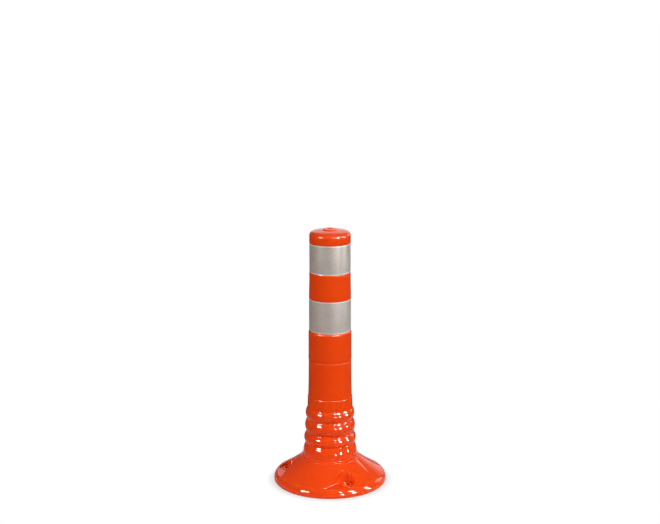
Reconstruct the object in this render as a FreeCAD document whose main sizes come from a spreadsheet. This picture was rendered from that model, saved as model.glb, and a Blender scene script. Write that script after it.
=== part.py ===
import FreeCAD, Part

import math
import os

import Sketcher

# A flexible lane divider: a conical base for bolting to a road, a ribbed neck that bends when the post is
# struck, and a hollow post with two reflective bands and a cap. Lengths are in millimetres, angles in
# degrees. Z is up, and the origin is on the ground at the middle of the base. Azimuths count from the
# front of the object, which faces -Y, towards +X.

# Every size that can be set by itself, with what it measures. Heights are stacked from the ground up.
SIZES = (
    ("base_radius", 98.5, "outside radius of the base"),
    ("rim_height", 12.6, "height at which the cone would meet the side of the base"),
    ("rim_rounding", 12.7, "rounding between the cone and the side"),
    ("foot_rounding", 4.0, "rounding of the lower edge of the base"),
    ("cone_top_radius", 51.5, "radius of the flat on which the collar stands"),
    ("cone_height", 43.8, "ground to the flat on which the collar stands"),
    ("cone_hollow", 1.45, "how far the cone's slope sinks below a straight line"),
    ("base_skin", 8.0, "wall of the cone, measured upright"),
    ("rim_wall", 8.5, "wall at the side of the base"),
    ("web_count", 12, "radial webs under the base"),
    ("web_thickness", 4.0, "thickness of each web"),
    ("socket_wall", 4.6, "wall round the lower end of the socket"),
    ("snap_clearance", 1.8, "room round the snap bead under the base"),
    ("bolt_circle_radius", 75.0, "radius of the circle of the bolt holes"),
    ("bolt_hole_radius", 5.5, "radius of a bolt hole, for an M10 bolt"),
    ("mould_azimuth", -38.0, "direction in which the front half of the mould draws"),
    ("pocket_spacing", 120.0, "angle between two bolt pockets"),
    ("pocket_radius", 13.4, "radius of a pocket's round end at its floor"),
    ("pocket_floor", 15.5, "height of a pocket's floor"),
    ("pocket_draft", 1.5, "lean of a pocket's walls"),
    ("pocket_opening", 7.0, "angle between a pocket's side walls and the draw of the mould"),
    ("pocket_reach", 60.0, "length over which a pocket is drawn out, past the rim"),
    ("pocket_wall", 5.0, "plastic left round a pocket under the base"),
    ("washer_radius", 10.0, "outside radius of a bolt washer"),
    ("washer_thickness", 3.0, "thickness of a bolt washer"),
    ("washer_seat_depth", 1.5, "how deep the washer is let into the floor"),
    ("washer_edge", 0.6, "bevel on the washer's upper edge"),
    ("spigot_radius", 36.0, "outside radius of the neck's spigot"),
    ("spigot_wall", 6.0, "wall of the spigot"),
    ("spigot_bottom", 10.0, "height of the spigot's lower end above the ground"),
    ("snap_bead_height", 3.6, "height of the bead that snaps under the socket"),
    ("snap_bead_depth", 1.6, "how far the bead stands out"),
    ("fit_clearance", 0.2, "radial room between a spigot and its socket"),
    ("collar_height", 26.6, "cone to the lowest valley of the neck"),
    ("collar_radius", 47.15, "radius of the collar's upright part"),
    ("collar_skirt", 8.6, "cone to the top of that part"),
    ("lip_radius", 51.2, "radius of the lip at the foot of the collar"),
    ("lip_edge", 2.1, "height of the lip's edge"),
    ("lip_rise", 1.3, "rise of the lip from its edge to the collar"),
    ("lip_rounding", 1.3, "rounding of the lip's edge"),
    ("collar_bulge", 1.1, "swell of the collar"),
    ("lowest_valley_radius", 42.4, "radius of the valley above the collar"),
    ("lower_valley_radius", 40.2, "radius of the valley above the lower bead"),
    ("upper_valley_radius", 39.2, "radius of the valley above the middle bead"),
    ("top_valley_radius", 39.35, "radius where the upper bead meets the sleeve"),
    ("lower_bead_height", 19.6, "height of the lower bead"),
    ("middle_bead_height", 24.4, "height of the middle bead"),
    ("upper_bead_height", 19.2, "height of the upper bead"),
    ("lower_bead_bulge", 3.8, "swell of the lower bead"),
    ("middle_bead_bulge", 3.8, "swell of the middle bead"),
    ("upper_bead_bulge", 3.1, "swell of the upper bead"),
    ("neck_wall", 7.0, "wall of the neck"),
    ("flex_gap", 0.4, "gap between two beads at a valley"),
    ("sleeve_height", 86.4, "upper bead to the seam"),
    ("sleeve_cuff", 20.5, "height of the thicker cuff at the sleeve's lower end"),
    ("cuff_step", 0.45, "step above the cuff"),
    ("cuff_taper", 0.65, "how much the cuff narrows upwards"),
    ("sleeve_flare", 38.45, "height of the flared part above the cuff"),
    ("flare_radius", 37.2, "radius where the flare ends"),
    ("flare_hollow", 0.28, "how far the flare sinks below a straight line"),
    ("seam_radius", 36.9, "radius of sleeve and post at the seam"),
    ("seat_height", 16.4, "upper bead to the ledge that carries the post"),
    ("seat_radius", 30.5, "bore below that ledge"),
    ("post_bore", 30.0, "bore of the post"),
    ("post_spigot_radius", 33.0, "outside radius of the post's spigot"),
    ("post_spigot_relief", 0.3, "room under the spigot's end"),
    ("shoulder_height", 53.5, "seam to the lower band"),
    ("shoulder_radius", 37.1, "radius of the post below the lower band"),
    ("seam_roll", 0.3, "swell of the rolled edge above the seam"),
    ("seam_roll_height", 12.0, "height of the rolled edge"),
    ("shoulder_round", 3.2, "height of the rounded shoulder below the lower band"),
    ("shoulder_swell", 0.26, "swell of that shoulder"),
    ("band_foot_height", 1.4, "upright part between that shoulder and the lower band"),
    ("band_foot_radius", 36.1, "radius of that part"),
    ("lower_band_height", 55.4, "height of the lower band"),
    ("lower_band_seat_radius", 35.7, "radius of the post under the lower band"),
    ("ring_height", 47.2, "height of the orange ring between the bands"),
    ("ring_foot_height", 10.0, "lower band to where the ring narrows"),
    ("ring_narrowing", 20.0, "height over which the ring narrows"),
    ("ring_lower_radius", 36.05, "radius of the ring below that"),
    ("ring_upper_radius", 35.45, "radius of the ring above it"),
    ("ring_taper_height", 2.2, "height of the rounded taper below the upper band"),
    ("ring_taper_swell", 0.1, "swell of that taper"),
    ("ring_top_radius", 34.95, "radius of the ring at the upper band"),
    ("upper_band_height", 49.6, "height of the upper band"),
    ("upper_band_seat_radius", 34.9, "radius of the post under the upper band"),
    ("film_thickness", 0.35, "thickness of the reflective film"),
    ("cap_radius", 35.4, "outside radius of the cap"),
    ("cap_side_height", 18.6, "height at which the crown would meet the cap's side"),
    ("cap_rounding", 6.0, "rounding between the crown and the side"),
    ("cap_foot_rounding", 1.2, "rounding of the cap's lower edge"),
    ("crown_rise", 3.9, "rise of the crown from the side to the bush"),
    ("crown_swell", 0.5, "swell of the crown"),
    ("cap_wall", 4.0, "wall of the crown"),
    ("skirt_depth", 20.0, "length of the plug skirt inside the post"),
    ("skirt_wall", 3.8, "wall of the plug skirt"),
    ("skirt_clearance", 0.15, "radial room between the skirt and the post"),
    ("bush_radius", 12.0, "outside radius of the chain bush"),
    ("bush_height", 1.8, "height of the bush above the crown"),
    ("bush_rounding", 0.8, "rounding of the bush's upper edge"),
    ("bush_bore_radius", 4.7, "bore of the chain bush"),
    ("bush_stem_radius", 8.0, "radius of the stem through the cap"),
    ("bush_stem_clearance", 0.15, "radial room between the stem and the cap"),
    ("bush_barb_height", 3.0, "height of the barb under the crown"),
    ("bush_barb_depth", 0.8, "how far the barb stands out"),
    ("bush_barb_clearance", 0.2, "room between the barb and the crown"),
)

# How close a corner of a solid has to lie to be the one that is rounded
SAME_PLACE = 0.001

# A sketch counts the points of an edge in this order
EDGE_POINTS = ("edge", "start", "end", "centre")
START = EDGE_POINTS.index("start")
END = EDGE_POINTS.index("end")
CENTRE = EDGE_POINTS.index("centre")
# Its horizontal axis, whose start is the sketch's origin
SKETCH_AXIS = -1


class Size:
    """A size as a number and as the expression that drives it."""

    def __init__(self, number, text):
        self.number = number
        self.text = text

    def combined(self, other, sign, number):
        text = other.text if isinstance(other, Size) else repr(other)
        return Size(number, "(" + self.text + " " + sign + " " + text + ")")

    def __add__(self, other):
        return self.combined(other, "+", self.number + plain(other))

    def __sub__(self, other):
        return self.combined(other, "-", self.number - plain(other))

    def __mul__(self, other):
        return self.combined(other, "*", self.number * plain(other))

    def __truediv__(self, other):
        return self.combined(other, "/", self.number / plain(other))

    def __neg__(self):
        return Size(-self.number, "(0 - " + self.text + ")")


def plain(value):
    """The number in a size, or the number itself."""
    return value.number if isinstance(value, Size) else value


def cosine(angle):
    return Size(math.cos(math.radians(angle.number)), "cos(" + angle.text + ")")


def sine(angle):
    return Size(math.sin(math.radians(angle.number)), "sin(" + angle.text + ")")


class SizeSheet:
    """The spreadsheet of the driving sizes, read by name."""

    def __init__(self, document, rows):
        sheet = document.addObject("Spreadsheet::Sheet", "Sizes")
        self.numbers = {}
        for row, (name, number, meaning) in enumerate(rows, start=1):
            sheet.set("A" + str(row), name)
            sheet.set("B" + str(row), str(number))
            sheet.set("C" + str(row), meaning)
            sheet.setAlias("B" + str(row), name)
            self.numbers[name] = number
        document.recompute()

    def __getattr__(self, name):
        return Size(self.numbers[name], "Sizes." + name)


doc = FreeCAD.newDocument("LaneDivider")
size = SizeSheet(doc, SIZES)
nodes = []


def bind(thing, path, value):
    """Ties one property of an object to a size."""
    thing.setExpression(path, value.text)


def new_body(label):
    body = doc.addObject("PartDesign::Body", label)
    body.Label = label
    return body


def origin_feature(body, role):
    """One of the planes or axes of the body's own origin."""
    return next(feature for feature in body.Origin.OriginFeatures if feature.Role == role)


def new_sketch(body, name, plane):
    sketch = body.newObject("Sketcher::SketchObject", name)
    sketch.AttachmentSupport = [(origin_feature(body, plane), "")]
    sketch.MapMode = "FlatFace"
    return sketch


def arc_radius(start, end, bulge):
    """Radius of the arc from start to end that stands off its chord by bulge."""
    across = end[0] - start[0]
    along = end[1] - start[1]
    chord_squared = across * across + along * along
    return (chord_squared / 4 + bulge * bulge) / (bulge * 2)


def outline_edge(start, end, bulge):
    """A straight edge, or an arc that swells to the right of its travel where bulge is positive."""
    first = FreeCAD.Vector(start[0].number, start[1].number, 0)
    last = FreeCAD.Vector(end[0].number, end[1].number, 0)
    if bulge is None:
        return Part.LineSegment(first, last)
    chord = last - first
    right = FreeCAD.Vector(chord.y, -chord.x, 0).normalize()
    middle = (first + last) * 0.5 + right * bulge.number
    if bulge.number > 0:
        return Part.Arc(first, middle, last)
    return Part.Arc(last, middle, first)


def draw_outline(sketch, corners):
    """A closed outline through corners (across, up, bulge), each bulge belonging to the edge that ends there."""
    count = len(corners)
    starts = []
    ends = []
    for index in range(count):
        start = corners[index]
        end = corners[(index + 1) % count]
        bulge = end[2] if len(end) > 2 else None
        sketch.addGeometry(outline_edge(start, end, bulge))
        reversed_arc = bulge is not None and bulge.number < 0
        starts.append(END if reversed_arc else START)
        ends.append(START if reversed_arc else END)
        if bulge is not None:
            step = -bulge if reversed_arc else bulge
            radius = arc_radius(start, end, step)
            constraint = sketch.addConstraint(Sketcher.Constraint("Radius", index, radius.number))
            bind(sketch, "Constraints[" + str(constraint) + "]", radius)
    for index in range(count):
        following = (index + 1) % count
        corner = Sketcher.Constraint("Coincident", index, ends[index], following, starts[following])
        sketch.addConstraint(corner)
        for kind, value in (("DistanceX", corners[index][0]), ("DistanceY", corners[index][1])):
            constraint = Sketcher.Constraint(kind, SKETCH_AXIS, START, index, starts[index], value.number)
            constraint = sketch.addConstraint(constraint)
            bind(sketch, "Constraints[" + str(constraint) + "]", value)


def revolve(body, name, corners):
    """Turns an outline of (radius, height) corners about the upright axis."""
    sketch = new_sketch(body, name + "_outline", "XZ_Plane")
    draw_outline(sketch, corners)
    feature = body.newObject("PartDesign::Revolution", name)
    feature.Profile = sketch
    feature.ReferenceAxis = (sketch, ["V_Axis"])
    feature.Angle = 360
    doc.recompute()
    return feature


def ring_edges(shape, radius, height):
    """Names of the round edges at this radius and height."""
    names = []
    for index, edge in enumerate(shape.Edges, start=1):
        curve = edge.Curve
        if not isinstance(curve, Part.Circle):
            continue
        if abs(curve.Radius - radius.number) < SAME_PLACE and abs(curve.Center.z - height.number) < SAME_PLACE:
            names.append("Edge" + str(index))
    if not names:
        raise ValueError("no round edge at radius %g and height %g" % (radius.number, height.number))
    return names


def soften(body, kind, amount, *places):
    """Rounds or bevels the round edges at the given (radius, height) places."""
    base = body.Tip
    names = []
    for radius, height in places:
        names.extend(ring_edges(base.Shape, radius, height))
    feature = body.newObject("PartDesign::" + kind, body.Label + "_" + kind.lower() + str(len(body.Group)))
    feature.Base = (base, names)
    bind(feature, "Radius" if kind == "Fillet" else "Size", amount)
    doc.recompute()
    return feature


def keep(thing):
    """Counts an object as one of the finished pieces."""
    nodes.append(thing)
    return thing


def joined(label, pieces):
    fuse = doc.addObject("Part::MultiFuse", label)
    fuse.Shapes = pieces
    return fuse


def cut(label, base, tool):
    result = doc.addObject("Part::Cut", label)
    result.Label = label
    result.Base = base
    result.Tool = tool
    doc.recompute()
    return result


def cylinder(label, radius, bottom, height):
    solid = doc.addObject("Part::Cylinder", label)
    bind(solid, "Radius", radius)
    bind(solid, "Height", height)
    bind(solid, "Placement.Base.z", bottom)
    return solid


ZERO = Size(0.0, "0")

# Heights of the joins between the pieces
lowest_valley = size.cone_height + size.collar_height
lower_valley = lowest_valley + size.lower_bead_height
upper_valley = lower_valley + size.middle_bead_height
top_valley = upper_valley + size.upper_bead_height
seam = top_valley + size.sleeve_height
lower_band_bottom = seam + size.shoulder_height
lower_band_top = lower_band_bottom + size.lower_band_height
upper_band_bottom = lower_band_top + size.ring_height
upper_band_top = upper_band_bottom + size.upper_band_height
crown_edge = upper_band_top + size.cap_side_height
crown_top = crown_edge + size.crown_rise
half_gap = size.flex_gap / 2

# Sizes that two pieces share
socket_radius = size.spigot_radius + size.fit_clearance
snap_radius = size.spigot_radius + size.snap_bead_depth
snap_top = size.spigot_bottom + size.snap_bead_height
washer_seat = size.pocket_floor - size.washer_seat_depth

# The three bolt pockets: the name of the piece in each, how many pocket spacings it lies from the
# direction of the mould, and how far its draw turns away from straight outwards. The two front pockets
# are drawn with the front half of the mould, and the third with the rear half.
POCKETS = (
    ("front", size.mould_azimuth + size.pocket_spacing / 2, -(size.pocket_spacing / 2)),
    ("left", size.mould_azimuth - size.pocket_spacing / 2, size.pocket_spacing / 2),
    ("rear", size.mould_azimuth + size.pocket_spacing * 1.5, ZERO),
)
# An azimuth counts from the front, and the sketches' own angles from +X
QUARTER_TURN = 90


def bolt_axis(azimuth):
    """Where the bolt of a pocket stands."""
    across = size.bolt_circle_radius * sine(azimuth)
    forward = -(size.bolt_circle_radius * cosine(azimuth))
    return across, forward


def stand_on_bolt_axis(thing, azimuth):
    across, forward = bolt_axis(azimuth)
    bind(thing, "Placement.Base.x", across)
    bind(thing, "Placement.Base.y", forward)


def pocket_block(label, azimuth, swing, margin, bottom, top, draft):
    """A block with a round end about the bolt, opening out to the rim: the room of a pocket, or its wall."""
    body = new_body(label)
    sketch = new_sketch(body, label + "_outline", "XY_Plane")
    radius = size.pocket_radius + margin
    opening = size.pocket_opening
    half_mouth = (radius + size.pocket_reach * sine(opening)) / cosine(opening)
    tangent_x = -(radius * sine(opening)).number
    tangent_y = (radius * cosine(opening)).number
    round_end = Part.ArcOfCircle(
        Part.Circle(FreeCAD.Vector(0, 0, 0), FreeCAD.Vector(0, 0, 1), radius.number),
        math.atan2(tangent_y, tangent_x),
        math.atan2(-tangent_y, tangent_x),
    )
    inner_right = FreeCAD.Vector(tangent_x, -tangent_y, 0)
    outer_right = FreeCAD.Vector(size.pocket_reach.number, -half_mouth.number, 0)
    outer_left = FreeCAD.Vector(size.pocket_reach.number, half_mouth.number, 0)
    inner_left = FreeCAD.Vector(tangent_x, tangent_y, 0)
    end_arc = sketch.addGeometry(round_end)
    right_wall = sketch.addGeometry(Part.LineSegment(inner_right, outer_right))
    mouth = sketch.addGeometry(Part.LineSegment(outer_right, outer_left))
    left_wall = sketch.addGeometry(Part.LineSegment(outer_left, inner_left))
    sketch.addConstraint(Sketcher.Constraint("Coincident", end_arc, CENTRE, SKETCH_AXIS, START))
    sketch.addConstraint(Sketcher.Constraint("Tangent", end_arc, END, right_wall, START))
    sketch.addConstraint(Sketcher.Constraint("Tangent", left_wall, END, end_arc, START))
    sketch.addConstraint(Sketcher.Constraint("Coincident", right_wall, END, mouth, START))
    sketch.addConstraint(Sketcher.Constraint("Coincident", mouth, END, left_wall, START))
    sketch.addConstraint(Sketcher.Constraint("Symmetric", mouth, START, mouth, END, SKETCH_AXIS))
    constraint = sketch.addConstraint(Sketcher.Constraint("Radius", end_arc, radius.number))
    bind(sketch, "Constraints[" + str(constraint) + "]", radius)
    for kind, value in (("DistanceX", size.pocket_reach), ("DistanceY", half_mouth)):
        constraint = Sketcher.Constraint(kind, SKETCH_AXIS, START, mouth, END, value.number)
        constraint = sketch.addConstraint(constraint)
        bind(sketch, "Constraints[" + str(constraint) + "]", value)
    pad = body.newObject("PartDesign::Pad", label + "_pad")
    pad.Profile = sketch
    bind(pad, "Length", top - bottom)
    bind(pad, "TaperAngle", draft)
    stand_on_bolt_axis(body, azimuth)
    bind(body, "Placement.Base.z", bottom)
    body.Placement.Rotation = FreeCAD.Rotation(FreeCAD.Vector(0, 0, 1), 0)
    bind(body, "Placement.Rotation.Angle", azimuth + swing - QUARTER_TURN)
    return body


def bolt_cylinder(label, azimuth, radius, bottom, height):
    solid = cylinder(label, radius, bottom, height)
    stand_on_bolt_axis(solid, azimuth)
    return solid


def base_blank():
    """The cone before anything is cut into it, with its socket."""
    body = new_body("base_blank")
    snap_room = snap_radius + size.snap_clearance
    socket_bottom = snap_top + size.fit_clearance
    revolve(body, "cone", (
        (snap_room, ZERO),
        (size.base_radius, ZERO),
        (size.base_radius, size.rim_height),
        (size.cone_top_radius, size.cone_height, -size.cone_hollow),
        (socket_radius, size.cone_height),
        (socket_radius, socket_bottom),
        (snap_room, socket_bottom),
    ))
    soften(body, "Fillet", size.rim_rounding, (size.base_radius, size.rim_height))
    soften(body, "Fillet", size.foot_rounding, (size.base_radius, ZERO))
    return body


def underside():
    """The hollow under the cone, between its radial webs."""
    body = new_body("underside")
    inner = snap_radius + size.snap_clearance + size.socket_wall
    outer = size.base_radius - size.rim_wall
    slope = (size.cone_height - size.rim_height) / (size.base_radius - size.cone_top_radius)
    roof = size.cone_height - size.base_skin
    revolve(body, "hollow", (
        (inner, ZERO),
        (outer, ZERO),
        (outer, roof - slope * (outer - size.cone_top_radius)),
        (size.cone_top_radius, roof),
        (inner, roof),
    ))
    sketch = new_sketch(body, "web_outline", "XY_Plane")
    half_web = size.web_thickness / 2
    draw_outline(sketch, (
        (ZERO, -half_web),
        (size.base_radius, -half_web),
        (size.base_radius, half_web),
        (ZERO, half_web),
    ))
    web = body.newObject("PartDesign::Pocket", "web")
    web.Profile = sketch
    web.Reversed = True
    bind(web, "Length", size.cone_height)
    doc.recompute()
    webs = body.newObject("PartDesign::PolarPattern", "webs")
    webs.Originals = [web]
    webs.Axis = (origin_feature(body, "Z_Axis"), [""])
    webs.Angle = 360
    bind(webs, "Occurrences", size.web_count)
    body.Tip = webs
    doc.recompute()
    return body


def base_flange():
    """The conical base: the cone less its hollow underside, its bolt pockets and its bolt holes."""
    walls = []
    cuts = []
    for name, azimuth, swing in POCKETS:
        walls.append(pocket_block(name + "_wall", azimuth, swing, size.pocket_wall, ZERO, size.cone_height, ZERO))
        cuts.append(pocket_block(name + "_pocket", azimuth, swing, ZERO, size.pocket_floor,
                                 size.cone_height + size.pocket_floor, size.pocket_draft))
        cuts.append(bolt_cylinder(name + "_bolt_hole", azimuth, size.bolt_hole_radius, -size.pocket_floor,
                                  size.pocket_floor * 3))
        cuts.append(bolt_cylinder(name + "_washer_seat", azimuth, size.washer_radius + size.fit_clearance,
                                  washer_seat, size.washer_seat_depth * 2))
    hollow = cut("webbed_hollow", underside(), joined("pocket_walls", walls))
    return keep(cut("base_flange", base_blank(), joined("base_cuts", [hollow] + cuts)))


def bolt_washer(name, azimuth):
    """A load-spreading washer in a pocket's floor."""
    body = new_body("bolt_washer_" + name)
    top = washer_seat + size.washer_thickness
    revolve(body, name + "_washer", (
        (size.bolt_hole_radius, washer_seat),
        (size.washer_radius, washer_seat),
        (size.washer_radius, top),
        (size.bolt_hole_radius, top),
    ))
    soften(body, "Chamfer", size.washer_edge, (size.washer_radius, top), (size.bolt_hole_radius, top))
    stand_on_bolt_axis(body, azimuth)
    return keep(body)


def neck_collar():
    """The foot of the neck: a flared collar on the cone and a spigot that snaps into the base."""
    body = new_body("neck_collar")
    bore = size.spigot_radius - size.spigot_wall
    lip_top = size.cone_height + size.lip_edge
    top = lowest_valley - half_gap
    throat = size.lowest_valley_radius - size.neck_wall
    revolve(body, "collar", (
        (bore, size.spigot_bottom),
        (size.spigot_radius - size.snap_bead_depth, size.spigot_bottom),
        (snap_radius, snap_top - size.snap_bead_depth),
        (snap_radius, snap_top),
        (size.spigot_radius, snap_top),
        (size.spigot_radius, size.cone_height),
        (size.lip_radius, size.cone_height),
        (size.lip_radius, lip_top),
        (size.collar_radius, lip_top + size.lip_rise),
        (size.collar_radius, size.cone_height + size.collar_skirt),
        (size.lowest_valley_radius, top, size.collar_bulge),
        (throat, top),
        (throat, top - size.neck_wall),
        (bore, size.cone_height),
    ))
    soften(body, "Fillet", size.lip_rounding, (size.lip_radius, lip_top))
    return keep(body)


def neck_bead(label, bottom, bottom_radius, top, top_radius, bulge):
    """One rounded bead of the neck, from valley to valley, with the same wall all the way."""
    body = new_body(label)
    revolve(body, label + "_bead", (
        (bottom_radius - size.neck_wall, bottom + half_gap, -bulge),
        (bottom_radius, bottom + half_gap),
        (top_radius, top - half_gap, bulge),
        (top_radius - size.neck_wall, top - half_gap),
    ))
    return keep(body)


def neck_sleeve():
    """The socket above the beads, in which the post stands."""
    body = new_body("neck_sleeve")
    bottom = top_valley + half_gap
    seat = top_valley + size.seat_height
    cuff_top = top_valley + size.sleeve_cuff
    flare_top = cuff_top + size.cuff_step + size.sleeve_flare
    cuff_radius = size.top_valley_radius - size.cuff_taper
    bore = size.post_spigot_radius + size.fit_clearance
    throat = size.top_valley_radius - size.neck_wall
    revolve(body, "sleeve", (
        (throat, bottom),
        (size.top_valley_radius, bottom),
        (cuff_radius, cuff_top),
        (cuff_radius - size.cuff_step, cuff_top + size.cuff_step),
        (size.flare_radius, flare_top, -size.flare_hollow),
        (size.seam_radius, seam),
        (bore, seam),
        (bore, seat),
        (size.seat_radius, seat),
        (size.seat_radius, seat - size.neck_wall),
    ))
    return keep(body)


def post_tube():
    """The upright tube, with a spigot below and a shallow seat for each band."""
    body = new_body("post_tube")
    bottom = top_valley + size.seat_height + size.post_spigot_relief
    roll_middle = seam + size.seam_roll_height / 4
    roll_top = seam + size.seam_roll_height
    round_top = lower_band_bottom - size.band_foot_height
    ring_foot_top = lower_band_top + size.ring_foot_height
    revolve(body, "tube", (
        (size.post_bore, bottom),
        (size.post_spigot_radius, bottom),
        (size.post_spigot_radius, seam),
        (size.seam_radius, seam),
        (size.shoulder_radius + size.seam_roll, roll_middle),
        (size.shoulder_radius, roll_top),
        (size.shoulder_radius, round_top - size.shoulder_round),
        (size.band_foot_radius, round_top, size.shoulder_swell),
        (size.band_foot_radius, lower_band_bottom),
        (size.lower_band_seat_radius, lower_band_bottom),
        (size.lower_band_seat_radius, lower_band_top),
        (size.ring_lower_radius, lower_band_top),
        (size.ring_lower_radius, ring_foot_top),
        (size.ring_upper_radius, ring_foot_top + size.ring_narrowing),
        (size.ring_upper_radius, upper_band_bottom - size.ring_taper_height),
        (size.ring_top_radius, upper_band_bottom, size.ring_taper_swell),
        (size.upper_band_seat_radius, upper_band_bottom),
        (size.upper_band_seat_radius, upper_band_top),
        (size.post_bore, upper_band_top),
    ))
    return keep(body)


def reflective_band(label, seat_radius, bottom, height):
    """A strip of reflective film round the post, in its seat."""
    outside = cylinder(label + "_outside", seat_radius + size.film_thickness, bottom, height)
    inside = cylinder(label + "_inside", seat_radius, bottom, height)
    return keep(cut(label, outside, inside))


def top_cap():
    """The cap: a crown on the end of the post, with a plug skirt inside it."""
    body = new_body("top_cap")
    skirt_radius = size.post_bore - size.skirt_clearance
    hollow_radius = skirt_radius - size.skirt_wall
    hole_radius = size.bush_stem_radius + size.bush_stem_clearance
    revolve(body, "crown", (
        (hollow_radius, upper_band_top - size.skirt_depth),
        (skirt_radius, upper_band_top - size.skirt_depth),
        (skirt_radius, upper_band_top),
        (size.cap_radius, upper_band_top),
        (size.cap_radius, crown_edge),
        (size.bush_radius, crown_top, size.crown_swell),
        (hole_radius, crown_top),
        (hole_radius, crown_top - size.cap_wall),
        (hollow_radius, crown_edge - size.cap_wall),
    ))
    soften(body, "Fillet", size.cap_rounding, (size.cap_radius, crown_edge))
    soften(body, "Fillet", size.cap_foot_rounding, (size.cap_radius, upper_band_top))
    return keep(body)


def chain_bush():
    """The raised bush in the middle of the cap, barbed under the crown."""
    body = new_body("chain_bush")
    barb_top = crown_top - size.cap_wall - size.bush_barb_clearance
    barb_bottom = barb_top - size.bush_barb_height
    top = crown_top + size.bush_height
    revolve(body, "bush", (
        (size.bush_bore_radius, barb_bottom),
        (size.bush_stem_radius - size.bush_barb_depth, barb_bottom),
        (size.bush_stem_radius + size.bush_barb_depth, barb_top),
        (size.bush_stem_radius, barb_top),
        (size.bush_stem_radius, crown_top),
        (size.bush_radius, crown_top),
        (size.bush_radius, top),
        (size.bush_bore_radius, top),
    ))
    soften(body, "Fillet", size.bush_rounding, (size.bush_radius, top))
    return keep(body)


base_flange()
for name, azimuth, swing in POCKETS:
    bolt_washer(name, azimuth)
neck_collar()
neck_bead("neck_bead_lower", lowest_valley, size.lowest_valley_radius, lower_valley, size.lower_valley_radius,
          size.lower_bead_bulge)
neck_bead("neck_bead_middle", lower_valley, size.lower_valley_radius, upper_valley, size.upper_valley_radius,
          size.middle_bead_bulge)
neck_bead("neck_bead_upper", upper_valley, size.upper_valley_radius, top_valley, size.top_valley_radius,
          size.upper_bead_bulge)
neck_sleeve()
post_tube()
reflective_band("reflective_band_lower", size.lower_band_seat_radius, lower_band_bottom, size.lower_band_height)
reflective_band("reflective_band_upper", size.upper_band_seat_radius, upper_band_bottom, size.upper_band_height)
top_cap()
chain_bush()

doc.recompute()
for thing in doc.Objects:
    if "Invalid" in thing.State or "Error" in thing.State:
        raise ValueError(thing.Label + " failed: " + str(thing.State))
    if thing.TypeId == "Sketcher::SketchObject" and not thing.FullyConstrained:
        raise ValueError(thing.Label + " isn't fully constrained")
for node in nodes:
    if node.Shape.isNull() or not node.Shape.isValid():
        raise ValueError(node.Label + " has no valid shape")

os.makedirs("parts", exist_ok=True)
for node in nodes:
    node.Shape.exportStep(os.path.join("parts", node.Label + ".step"))
    print("%-24s %d solid(s), %9.0f mm3" % (node.Label, len(node.Shape.Solids), node.Shape.Volume))
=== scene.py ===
import math

import bmesh
import bpy
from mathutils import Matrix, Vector


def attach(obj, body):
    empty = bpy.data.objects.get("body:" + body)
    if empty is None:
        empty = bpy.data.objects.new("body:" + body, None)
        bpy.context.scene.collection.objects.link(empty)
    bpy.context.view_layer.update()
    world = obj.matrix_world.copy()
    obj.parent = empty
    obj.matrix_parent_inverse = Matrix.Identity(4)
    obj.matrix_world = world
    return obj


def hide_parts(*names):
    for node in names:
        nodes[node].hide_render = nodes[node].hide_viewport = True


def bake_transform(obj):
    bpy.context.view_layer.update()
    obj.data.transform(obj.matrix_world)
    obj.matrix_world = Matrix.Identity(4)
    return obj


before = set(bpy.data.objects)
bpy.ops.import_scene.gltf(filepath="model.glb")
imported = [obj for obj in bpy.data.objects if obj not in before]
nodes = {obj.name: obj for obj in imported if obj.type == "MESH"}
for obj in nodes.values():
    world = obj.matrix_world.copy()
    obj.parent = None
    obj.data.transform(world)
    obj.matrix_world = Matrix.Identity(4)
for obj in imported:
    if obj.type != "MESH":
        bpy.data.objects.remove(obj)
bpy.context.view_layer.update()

# Base flange: the wide cone that the post stands on, injection moulded in glossy orange plastic.
# Its underside is hollow and webbed, and three pockets in its slope hold the anchor bolts. The mould
# left a smooth skin with the faintest ripple, and handling left hair scratches and dulled edges.
MM = 0.001
ORANGE = (0.80, 0.068, 0.004, 1.0)
REDDER_ORANGE = (0.79, 0.050, 0.003, 1.0)
DULLED_ORANGE = (0.83, 0.10, 0.008, 1.0)


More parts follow.
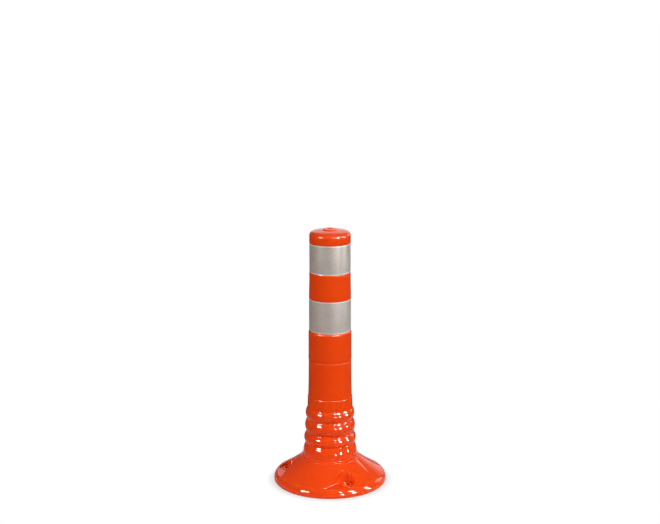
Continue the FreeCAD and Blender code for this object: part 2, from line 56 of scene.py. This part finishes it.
def moulded_plastic(name, gloss, ripple, edge=0.0):
    """Glossy orange plastic, with its least roughness, the depth of its waves and its edges' radius."""
    plastic = bpy.data.materials.new(name)
    plastic.use_nodes = True
    tree = plastic.node_tree
    tree.nodes.clear()

    def node(kind, **settings):
        made = tree.nodes.new(kind)
        for key, value in settings.items():
            if key in made.inputs:
                made.inputs[key].default_value = value
            else:
                setattr(made, key, value)
        return made

    def link(source, outlet, target, inlet):
        tree.links.new(source.outputs[outlet], target.inputs[inlet])

    place = node("ShaderNodeTexCoord")
    shader = node("ShaderNodeBsdfPrincipled")
    shader.inputs["IOR"].default_value = 1.5
    shader.inputs["Specular IOR Level"].default_value = 0.3
    output = node("ShaderNodeOutputMaterial")
    link(shader, "BSDF", output, "Surface")

    # The melt's flow leaves slow clouds of a redder and a lighter orange.
    clouds = node("ShaderNodeTexNoise", Scale=14.0, Detail=3.0, Roughness=0.5)
    link(place, "Object", clouds, "Vector")
    blend = node("ShaderNodeMix", data_type="RGBA")
    blend.inputs["A"].default_value = REDDER_ORANGE
    blend.inputs["B"].default_value = ORANGE
    link(clouds, "Fac", blend, "Factor")

    # Edges that stand out are rubbed a little paler.
    shape = node("ShaderNodeNewGeometry")
    rubbed = node("ShaderNodeMapRange")
    rubbed.inputs["From Min"].default_value = 0.52
    rubbed.inputs["From Max"].default_value = 0.62
    rubbed.inputs["To Max"].default_value = 0.35
    link(shape, "Pointiness", rubbed, "Value")
    worn = node("ShaderNodeMix", data_type="RGBA")
    worn.inputs["B"].default_value = DULLED_ORANGE
    link(blend, "Result", worn, "A")
    link(rubbed, "Result", worn, "Factor")
    link(worn, "Result", shader, "Base Color")

    # Fine scratches run every way and dull the gloss.
    scratches = node("ShaderNodeTexNoise", Scale=90.0, Detail=6.0, Roughness=0.65, Distortion=1.2)
    link(place, "Object", scratches, "Vector")
    dulling = node("ShaderNodeMapRange")
    dulling.inputs["From Min"].default_value = 0.5
    dulling.inputs["From Max"].default_value = 0.8
    dulling.inputs["To Min"].default_value = gloss
    dulling.inputs["To Max"].default_value = gloss + 0.09
    link(scratches, "Fac", dulling, "Value")
    link(dulling, "Result", shader, "Roughness")

    # The skin is never quite flat: long waves, and a peel finer than a millimetre.
    waves = node("ShaderNodeTexNoise", Scale=22.0, Detail=1.0)
    peel = node("ShaderNodeTexNoise", Scale=900.0, Detail=2.0)
    long_bump = node("ShaderNodeBump", Strength=0.5, Distance=ripple)
    fine_bump = node("ShaderNodeBump", Strength=0.1, Distance=0.00001)
    link(place, "Object", waves, "Vector")
    link(place, "Object", peel, "Vector")
    link(waves, "Fac", long_bump, "Height")
    link(peel, "Fac", fine_bump, "Height")
    link(long_bump, "Normal", fine_bump, "Normal")
    link(fine_bump, "Normal", shader, "Normal")
    if edge:
        # No moulded edge is knife sharp.
        soft_edge = node("ShaderNodeBevel", Radius=edge)
        soft_edge.samples = 8
        link(soft_edge, "Normal", long_bump, "Normal")
    return plastic


def dress(piece, finish):
    """Gives a piece its only material."""
    piece.data.materials.clear()
    piece.data.materials.append(finish)
    return piece


base_plastic = moulded_plastic("base_plastic", 0.04, 0.00004, edge=0.0012)
dress(nodes["base_flange"], base_plastic)

# Bolt washers: thick rings of hard orange plastic, let into the floors of the pockets. They spread the
# load of the anchor bolts.
washer_plastic = moulded_plastic("washer_plastic", 0.25, 0.00004, edge=0.0003)
for washer in ("bolt_washer_front", "bolt_washer_left", "bolt_washer_rear"):
    dress(nodes[washer], washer_plastic)

# Neck: a bellows of softer orange plastic, whose collar snaps into the base and whose sleeve takes the
# post. It was blown in one piece, so its skin runs on over the valleys, and it bends there.
FACETS = 160


def arc_through(start, end, bulge):
    """Centre and radius of the arc that stands off its chord by bulge, to the right of its travel."""
    start, end = Vector(start), Vector(end)
    chord = end - start
    right = Vector((chord.y, -chord.x)).normalized()
    radius = (chord.length_squared / 4 + bulge * bulge) / (2 * bulge)
    return (start + end) / 2 + right * (bulge - radius), radius


def swell(start, end, bulge, steps):
    """Points after start, to end, on the arc that stands off its chord by bulge."""
    centre, radius = arc_through(start, end, bulge)
    first = math.atan2(start[1] - centre.y, start[0] - centre.x)
    turn = math.atan2(end[1] - centre.y, end[0] - centre.x) - first
    points = []
    for step in range(1, steps + 1):
        angle = first + turn * step / steps
        points.append((centre.x + radius * math.cos(angle), centre.y + radius * math.sin(angle)))
    return points


def rounded(corners):
    """The outline with its corners (radius, height, rounding) rounded; one of two numbers stays sharp."""
    outline = []
    count = len(corners)
    for index, corner in enumerate(corners):
        here = Vector(corner[:2])
        if len(corner) < 3:
            outline.append(tuple(here))
            continue
        before = Vector(corners[index - 1][:2]) - here
        after = Vector(corners[(index + 1) % count][:2]) - here
        half = before.angle(after) / 2
        reach = min(corner[2] / math.tan(half), before.length * 0.49, after.length * 0.49)
        radius = reach * math.tan(half)
        centre = here + (before.normalized() + after.normalized()).normalized() * (radius / math.sin(half))
        begin = here + before.normalized() * reach - centre
        end = here + after.normalized() * reach - centre
        turn = begin.angle_signed(end)
        steps = max(3, int(abs(math.degrees(turn)) / 9))
        for step in range(steps + 1):
            angle = -turn * step / steps
            spoke = Vector((
                begin.x * math.cos(angle) - begin.y * math.sin(angle),
                begin.x * math.sin(angle) + begin.y * math.cos(angle),
            ))
            outline.append(tuple(centre + spoke))
    return outline


def turned(name, outline, sides=FACETS):
    """A ring turned about the upright axis from a closed outline of (radius, height), in millimetres."""
    mesh = bpy.data.meshes.new(name)
    grid = bmesh.new()
    rings = []
    for side in range(sides):
        angle = 2 * math.pi * side / sides
        spoke = Vector((math.cos(angle), math.sin(angle)))
        rings.append([
            grid.verts.new((spoke.x * radius * MM, spoke.y * radius * MM, height * MM))
            for radius, height in outline
        ])
    for side in range(sides):
        this, following = rings[side], rings[(side + 1) % sides]
        for index in range(len(outline)):
            onward = (index + 1) % len(outline)
            grid.faces.new((this[index], following[index], following[onward], this[onward]))
    bmesh.ops.recalc_face_normals(grid, faces=grid.faces)
    grid.to_mesh(mesh)
    grid.free()
    mesh.shade_smooth()
    mesh.set_sharp_from_angle(angle=math.radians(50))
    piece = bpy.data.objects.new(name, mesh)
    bpy.context.collection.objects.link(piece)
    return piece


# Where the neck's beads meet: radius and height
COLLAR_LIP = 47.2
COLLAR_TOP = (47.15, 52.4)
LOWEST_VALLEY = (42.4, 70.4)
LOWER_VALLEY = (40.2, 90.0)
UPPER_VALLEY = (39.2, 114.4)
TOP_VALLEY = (39.35, 133.6)
CUFF_TOP = (38.7, 154.1)
BELLOWS_TOP = 144.0
SEAM = 220.0
WALL = 7.0
BORE = 30.5
# How softly a valley runs out, and how close the rings of the mesh stand
VALLEY_EASE = 0.35
RING_SPACING = 0.5
SEAM_MARGIN = 0.04
BEADS = (
    arc_through(COLLAR_TOP, LOWEST_VALLEY, 1.1),
    arc_through(LOWEST_VALLEY, LOWER_VALLEY, 4.0),
    arc_through(LOWER_VALLEY, UPPER_VALLEY, 4.0),
    arc_through(UPPER_VALLEY, TOP_VALLEY, 3.3),
)


def cuff_radius(height):
    """The straight taper of the cuff, carried on below it."""
    share = (height - TOP_VALLEY[1]) / (CUFF_TOP[1] - TOP_VALLEY[1])
    return TOP_VALLEY[0] + (CUFF_TOP[0] - TOP_VALLEY[0]) * share


def bellows_radius(height):
    """The bead that stands out furthest at this height, eased into the next one where they meet."""
    reaches = [cuff_radius(height)]
    for centre, radius in BEADS:
        reaches.append(centre.x + math.sqrt(max(radius ** 2 - (height - centre.y) ** 2, 0.0)))
    furthest = max(reaches)
    crowding = sum(math.exp((reach - furthest) / VALLEY_EASE) for reach in reaches)
    return furthest + VALLEY_EASE * math.log(crowding)


def bellows(low, high):
    """Outline of the bellows between two heights, with a ring close to each end to hold the slope there."""
    count = round((high - low) / RING_SPACING)
    heights = [low + (high - low) * step / count for step in range(count + 1)]
    heights[1:1] = [low + SEAM_MARGIN]
    heights[-1:-1] = [high - SEAM_MARGIN]
    return [(bellows_radius(height), height) for height in heights]


CRESTS = (80.0, 102.2, 124.0)

# The collar's foot: a spigot with a snap barb, and the lip that lies on the cone
foot = rounded([
    (30.0, COLLAR_LIP),
    (30.0, 10.0, 0.6),
    (34.4, 10.0, 0.4),
    (37.6, 12.0, 0.4),
    (37.6, 13.6, 0.3),
    (36.0, 13.6),
    (36.0, 43.8),
    (51.2, 43.8),
    (51.2, 45.9, 1.5),
    (COLLAR_TOP[0], COLLAR_LIP, 0.8),
    COLLAR_TOP,
])
# The sleeve: the cuff's small step, the long taper, and the socket for the post
head = rounded([
    (cuff_radius(BELLOWS_TOP), BELLOWS_TOP),
    (CUFF_TOP[0], CUFF_TOP[1], 1.6),
    (CUFF_TOP[0] - 0.45, CUFF_TOP[1] + 0.45, 0.6),
    (37.8, 163.0, 40.0),
    (37.4, 177.0, 60.0),
    (37.2, 193.0, 60.0),
    (36.9, SEAM, 0.5),
    (33.2, SEAM),
    (33.2, 150.0),
    (BORE, 150.0),
    (BORE, 143.0),
    (32.35, 134.0),
])


def inner(run):
    """The inside of a stretch of the bellows, from its top down, with the same wall all the way."""
    return [(max(radius - WALL, BORE), height) for radius, height in reversed(run)]


neck_plastic = moulded_plastic("neck_plastic", 0.04, 0.00002)
limits = (COLLAR_TOP[1], *CRESTS, BELLOWS_TOP)
neck_pieces = (
    ("neck_skin_collar", ("neck_collar", "neck_bead_lower")),
    ("neck_skin_lower", ("neck_bead_lower", "neck_bead_middle")),
    ("neck_skin_upper", ("neck_bead_middle", "neck_bead_upper")),
    ("neck_skin_sleeve", ("neck_bead_upper", "neck_sleeve")),
)
for index, (name, stands_for) in enumerate(neck_pieces):
    stretch = bellows(limits[index], limits[index + 1])
    outline = stretch + inner(stretch)
    if index == 0:
        outline = foot[:-1] + outline
    if index == len(neck_pieces) - 1:
        outline = stretch[:-1] + head + inner(stretch)[1:]
    skin = dress(turned(name, outline), neck_plastic)
    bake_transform(skin)
    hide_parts(*stands_for)

# Post tube: the upright, an extruded and turned tube of the same orange plastic, glued into the neck's
# sleeve. It steps in a little for each reflective band, so that passing wheels don't catch their edges.
BAND_1_BOTTOM = 273.5
BAND_1_TOP = 328.9
BAND_2_BOTTOM = 376.1
BAND_2_TOP = 425.7
LOWER_SEAT = 35.7
UPPER_SEAT = 34.9
post_plastic = moulded_plastic("post_plastic", 0.04, 0.00005)
tube = dress(turned("post_body", rounded([
    (30.0, 150.3),
    (33.0, 150.3, 0.8),
    (33.0, SEAM),
    (36.75, SEAM, 0.6),
    (37.4, 223.5, 2.0),
    (37.15, 232.0, 4.0),
    (37.1, 268.9),
    *swell((37.1, 268.9), (36.1, 272.1), 0.26, 8),
    (36.1, BAND_1_BOTTOM, 0.2),
    (LOWER_SEAT, BAND_1_BOTTOM),
    (LOWER_SEAT, BAND_1_TOP),
    (36.05, BAND_1_TOP, 0.15),
    (36.05, 338.9, 60.0),
    (35.45, 358.9, 60.0),
    (35.45, 373.9),
    *swell((35.45, 373.9), (34.95, BAND_2_BOTTOM), 0.1, 6),
    (UPPER_SEAT, BAND_2_BOTTOM),
    (UPPER_SEAT, BAND_2_TOP),
    (30.0, BAND_2_TOP),
])), post_plastic)
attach(tube, "post")
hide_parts("post_tube")

# Reflective bands: strips of silver sheeting with glass beads under a clear face, wrapped round the post
# and glued. A pale cyan-white line is painted into the colour along both edges of each band.
FILM = 0.35
# How far in from each band edge the painted pale line begins, and where it is at full strength
PALE_LINE_WIDTH = 0.0018
PALE_LINE_CORE = 0.001


def reflective_film(name, bottom, top):
    """Silver beaded sheeting with a pale cyan-white line painted along both edges, between two heights in
    metres.
    """
    film = bpy.data.materials.new(name)
    film.use_nodes = True
    tree = film.node_tree
    tree.nodes.clear()
    place = tree.nodes.new("ShaderNodeTexCoord")
    shader = tree.nodes.new("ShaderNodeBsdfPrincipled")
    shader.inputs["Metallic"].default_value = 0.04
    shader.inputs["Specular IOR Level"].default_value = 0.17
    shader.inputs["IOR"].default_value = 1.5
    output = tree.nodes.new("ShaderNodeOutputMaterial")
    tree.links.new(shader.outputs["BSDF"], output.inputs["Surface"])

    # Distance from the nearer edge of the band
    split = tree.nodes.new("ShaderNodeSeparateXYZ")
    tree.links.new(place.outputs["Object"], split.inputs[0])
    middle = tree.nodes.new("ShaderNodeMath")
    middle.operation = "SUBTRACT"
    middle.inputs[1].default_value = (bottom + top) / 2
    tree.links.new(split.outputs["Z"], middle.inputs[0])
    away = tree.nodes.new("ShaderNodeMath")
    away.operation = "ABSOLUTE"
    tree.links.new(middle.outputs[0], away.inputs[0])
    edge = tree.nodes.new("ShaderNodeMapRange")
    edge.inputs["From Min"].default_value = (top - bottom) / 2 - PALE_LINE_WIDTH
    edge.inputs["From Max"].default_value = (top - bottom) / 2 - PALE_LINE_CORE
    tree.links.new(away.outputs[0], edge.inputs["Value"])

    # The beads glint unevenly, and the sheeting is a little cloudy.
    beads = tree.nodes.new("ShaderNodeTexVoronoi")
    beads.inputs["Scale"].default_value = 1300.0
    cloud = tree.nodes.new("ShaderNodeTexNoise")
    cloud.inputs["Scale"].default_value = 60.0
    cloud.inputs["Detail"].default_value = 5.0
    for texture in (beads, cloud):
        tree.links.new(place.outputs["Object"], texture.inputs["Vector"])
    tone = tree.nodes.new("ShaderNodeMix")
    tone.data_type = "RGBA"
    tone.inputs["A"].default_value = (0.4, 0.36, 0.32, 1.0)
    tone.inputs["B"].default_value = (0.49, 0.445, 0.4, 1.0)
    tree.links.new(cloud.outputs["Fac"], tone.inputs["Factor"])
    glint = tree.nodes.new("ShaderNodeMix")
    glint.data_type = "RGBA"
    glint.blend_type = "MULTIPLY"
    glint.inputs["Factor"].default_value = 0.22
    tree.links.new(tone.outputs["Result"], glint.inputs["A"])
    tree.links.new(beads.outputs["Color"], glint.inputs["B"])
    # The colour turns pale cyan-white within two millimetres of each edge of the band.
    pale_edge_line = tree.nodes.new("ShaderNodeMix")
    pale_edge_line.data_type = "RGBA"
    pale_edge_line.inputs["B"].default_value = (0.5, 0.7, 0.66, 1.0)
    tree.links.new(glint.outputs["Result"], pale_edge_line.inputs["A"])
    tree.links.new(edge.outputs["Result"], pale_edge_line.inputs["Factor"])
    tree.links.new(pale_edge_line.outputs["Result"], shader.inputs["Base Color"])
    gloss = tree.nodes.new("ShaderNodeMapRange")
    gloss.inputs["To Min"].default_value = 0.34
    gloss.inputs["To Max"].default_value = 0.44
    tree.links.new(cloud.outputs["Fac"], gloss.inputs["Value"])
    tree.links.new(gloss.outputs["Result"], shader.inputs["Roughness"])
    bump = tree.nodes.new("ShaderNodeBump")
    bump.inputs["Strength"].default_value = 0.3
    bump.inputs["Distance"].default_value = 0.00005
    tree.links.new(beads.outputs["Distance"], bump.inputs["Height"])
    tree.links.new(bump.outputs["Normal"], shader.inputs["Normal"])
    return film


for name, node_name, radius, bottom, top in (
    ("silver_band_lower", "reflective_band_lower", LOWER_SEAT, BAND_1_BOTTOM, BAND_1_TOP),
    ("silver_band_upper", "reflective_band_upper", UPPER_SEAT, BAND_2_BOTTOM, BAND_2_TOP),
):
    film = reflective_film(name + "_film", bottom * MM, top * MM)
    band = dress(turned(name, rounded([
        (radius, bottom),
        (radius + FILM, bottom, 0.12),
        (radius + FILM, top, 0.12),
        (radius, top),
    ])), film)
    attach(band, "post")
    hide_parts(node_name)

# Top cap: a moulded lid of the same orange plastic, with a round shoulder and a plug skirt that is
# pressed into the tube. It keeps the rain out.
CROWN = 448.2
CAP_EDGE = BAND_2_TOP + 0.02
SKIRT_EDGE = 405.7
SKIRT_BORE = 26.05
SKIRT_RADIUS = 29.85
BUSH_RADIUS = 12.0
SHOULDER_FOOT = (35.4, 439.2)
SHOULDER_TOP = (28.9, 446.2)
cap_plastic = moulded_plastic("cap_plastic", 0.04, 0.00002)
cap = dress(turned("cap", rounded([
    (SKIRT_BORE, SKIRT_EDGE, 0.5),
    (SKIRT_RADIUS, SKIRT_EDGE, 0.8),
    (SKIRT_RADIUS, CAP_EDGE),
    (SHOULDER_FOOT[0], CAP_EDGE, 1.2),
    SHOULDER_FOOT,
    *swell(SHOULDER_FOOT, SHOULDER_TOP, 1.8, 16),
    *swell(SHOULDER_TOP, (BUSH_RADIUS, CROWN), 0.3, 16),
    (8.15, CROWN),
    (8.15, CROWN - 4),
    (SKIRT_BORE, 442.3, 1.0),
])), cap_plastic)
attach(cap, "post")
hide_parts("top_cap")

# Chain bush: a raised ring of orange plastic, barbed into the middle of the cap. The pin of a chain hook
# drops into its bore.
BUSH_FOOT = 441.0
BUSH_TOP = 450.0
BUSH_BORE = 4.7
SHANK = 8.0
BARB = 444.0
HEAD_FOOT = CROWN - 0.3
bush = dress(turned("bush", rounded([
    (BUSH_BORE, BUSH_FOOT, 0.3),
    (7.2, BUSH_FOOT, 0.3),
    (8.8, BARB, 0.2),
    (SHANK, BARB),
    (SHANK, HEAD_FOOT),
    (BUSH_RADIUS, HEAD_FOOT),
    (BUSH_RADIUS, BUSH_TOP, 0.8),
    (BUSH_BORE, BUSH_TOP, 0.5),
]), sides=96), cap_plastic)
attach(bush, "post")
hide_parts("chain_bush")

# Studio: a pale floor, a room that is white behind the object and dim in front of it, and soft lamps. The
# camera stands in front of the post, a little above it, and looks down on it.
FLOOR_REACH = 3.0
SHADOW_INSIDE = 0.094
SHADOW_OUTSIDE = 0.112
TO_BACKDROP = (0.1, 0.98, 0.17)
WHITE = (1.0, 1.0, 1.0, 1.0)


def linked(tree, source, outlet, target, inlet):
    tree.links.new(source.outputs[outlet], target.inputs[inlet])


def arithmetic(tree, operation, first, second):
    """A node that adds or multiplies two values, each a number or a (node, outlet) pair."""
    made = tree.nodes.new("ShaderNodeMath")
    made.operation = operation
    for slot, value in enumerate((first, second)):
        if isinstance(value, tuple):
            tree.links.new(value[0].outputs[value[1]], made.inputs[slot])
        else:
            made.inputs[slot].default_value = value
    return made


def seen_share(tree, mirrored):
    """How much of the white a ray sees: all of it from the camera, and a part of it in a reflection."""
    path = tree.nodes.new("ShaderNodeLightPath")
    through = arithmetic(tree, "ADD", (path, "Is Glossy Ray"), (path, "Is Transmission Ray"))
    through = arithmetic(tree, "MULTIPLY", (through, 0), mirrored)
    return arithmetic(tree, "ADD", (path, "Is Camera Ray"), (through, 0))


floor_mesh = bpy.data.meshes.new("studio_floor")
floor_mesh.from_pydata(
    [(-FLOOR_REACH, -FLOOR_REACH, 0), (FLOOR_REACH, -FLOOR_REACH, 0),
     (FLOOR_REACH, FLOOR_REACH, 0), (-FLOOR_REACH, FLOOR_REACH, 0)],
    [],
    [(0, 1, 2, 3)],
)
floor = bpy.data.objects.new("studio_floor", floor_mesh)
bpy.context.collection.objects.link(floor)
paper = bpy.data.materials.new("white_paper")
paper.use_nodes = True
tree = paper.node_tree
tree.nodes.clear()
output = tree.nodes.new("ShaderNodeOutputMaterial")
mix = tree.nodes.new("ShaderNodeMixShader")
matt = tree.nodes.new("ShaderNodeBsdfDiffuse")
white = tree.nodes.new("ShaderNodeEmission")
place = tree.nodes.new("ShaderNodeTexCoord")
distance = tree.nodes.new("ShaderNodeVectorMath")
distance.operation = "LENGTH"
linked(tree, place, "Object", distance, 0)
# Under the base the paper is lit as paper is, with the object's shadow. Past the shadow it is plain white.
fade = tree.nodes.new("ShaderNodeMapRange")
fade.inputs["From Min"].default_value = SHADOW_INSIDE
fade.inputs["From Max"].default_value = SHADOW_OUTSIDE
fade.inputs["To Min"].default_value = 0.5
linked(tree, distance, "Value", fade, "Value")
# Further out it gives back less light, so that it doesn't wash out the colours.
dimmer = tree.nodes.new("ShaderNodeMapRange")
dimmer.inputs["From Min"].default_value = 0.13
dimmer.inputs["From Max"].default_value = 0.45
dimmer.inputs["To Min"].default_value = 0.6
dimmer.inputs["To Max"].default_value = 0.03
linked(tree, distance, "Value", dimmer, "Value")
linked(tree, dimmer, "Result", matt, "Color")
share = arithmetic(tree, "MULTIPLY", (fade, "Result"), (seen_share(tree, 0.05), 0))
linked(tree, share, 0, mix, 0)
linked(tree, matt, 0, mix, 1)
linked(tree, white, 0, mix, 2)
linked(tree, mix, 0, output, "Surface")
floor_mesh.materials.append(paper)

world = bpy.data.worlds.new("studio")
bpy.context.scene.world = world
world.use_nodes = True
tree = world.node_tree
tree.nodes.clear()
output = tree.nodes.new("ShaderNodeOutputWorld")
mix = tree.nodes.new("ShaderNodeMixShader")
room = tree.nodes.new("ShaderNodeBackground")
room.inputs["Color"].default_value = WHITE
backdrop = tree.nodes.new("ShaderNodeBackground")
backdrop.inputs["Color"].default_value = WHITE
# In reflections the backdrop is white where it stands behind the object, and the room is dim elsewhere.
place = tree.nodes.new("ShaderNodeTexCoord")
facing = tree.nodes.new("ShaderNodeVectorMath")
facing.operation = "DOT_PRODUCT"
facing.inputs[1].default_value = TO_BACKDROP
linked(tree, place, "Generated", facing, 0)
behind = tree.nodes.new("ShaderNodeMapRange")
behind.inputs["From Min"].default_value = 0.88
behind.inputs["From Max"].default_value = 0.96
behind.inputs["To Min"].default_value = 0.02
linked(tree, facing, "Value", behind, "Value")
room.inputs["Strength"].default_value = 0.12
linked(tree, seen_share(tree, (behind, "Result")), 0, mix, 0)
linked(tree, room, 0, mix, 1)
linked(tree, backdrop, 0, mix, 2)
linked(tree, mix, 0, output, "Surface")

LAMP_TARGET = Vector((0, 0, 0.2))
GLINT_DISTANCE = 2.5


def lamp(name, azimuth, elevation, distance, width, height, radiance, gloss_only=False, matt_only=False):
    """An area lamp that faces the post, at an azimuth in degrees from the camera's side to the right."""
    light = bpy.data.lights.new(name, "AREA")
    light.shape = "RECTANGLE"
    light.size = width
    light.size_y = height
    light.energy = radiance * math.pi * width * height
    stand = bpy.data.objects.new(name, light)
    bpy.context.collection.objects.link(stand)
    across, up = math.radians(azimuth), math.radians(elevation)
    toward = Vector((math.sin(across) * math.cos(up), -math.cos(across) * math.cos(up), math.sin(up)))
    stand.location = LAMP_TARGET + toward * distance
    stand.rotation_euler = toward.to_track_quat("Z", "Y").to_euler()
    stand.visible_diffuse = not gloss_only
    stand.visible_glossy = not matt_only
    return stand


# These light the surfaces, and don't show in their gloss. The left one is a little warmer.
lamp("key_right", 62, 30, 2.4, 1.6, 1.2, 8.2, matt_only=True)
fill_left = lamp("fill_left", -55, 22, 2.4, 1.6, 1.0, 5.8, matt_only=True)
fill_left.data.color = (1.0, 0.88, 0.85)
lamp("fill_low", 5, 4, 2.2, 2.0, 0.35, 5.5, matt_only=True)
lamp("fill_top", 10, 80, 2.4, 1.4, 1.4, 1.0, matt_only=True)
lamp("fill_rear", 175, 30, 2.4, 1.8, 1.2, 2.6, matt_only=True)
# These show only as highlights: one wide oval on the left, and three columns of two on the right.
lamp("glint_left", -52, 17, GLINT_DISTANCE, 0.8, 0.42, 130, gloss_only=True)
for name, azimuth, low, high, width, height, strength in (
    ("glint_small", 24, 3, 37, 0.18, 0.3, 150),
    ("glint_right", 47, 3, 33, 0.42, 0.36, 140),
    ("glint_side", 84, 2, 25, 0.34, 0.32, 150),
):
    lamp(name + "_low", azimuth, low, GLINT_DISTANCE, width, height, strength, gloss_only=True)
    lamp(name + "_high", azimuth, high, GLINT_DISTANCE, width, height, strength, gloss_only=True)
# A broad glow on the right of the cone
lamp("sheet_side", 128, 16, 2.6, 0.9, 1.2, 3.0, gloss_only=True)

camera_data = bpy.data.cameras.new("studio_camera")
camera_data.lens = 73.67
camera_data.sensor_width = 36.0
camera = bpy.data.objects.new("studio_camera", camera_data)
camera.location = (0.0, -2.25442, 0.88302)
camera.rotation_euler = (math.radians(77.7115), 0.0, 0.0)
bpy.context.collection.objects.link(camera)
bpy.context.scene.camera = camera
bpy.context.scene.view_settings.view_transform = "Standard"
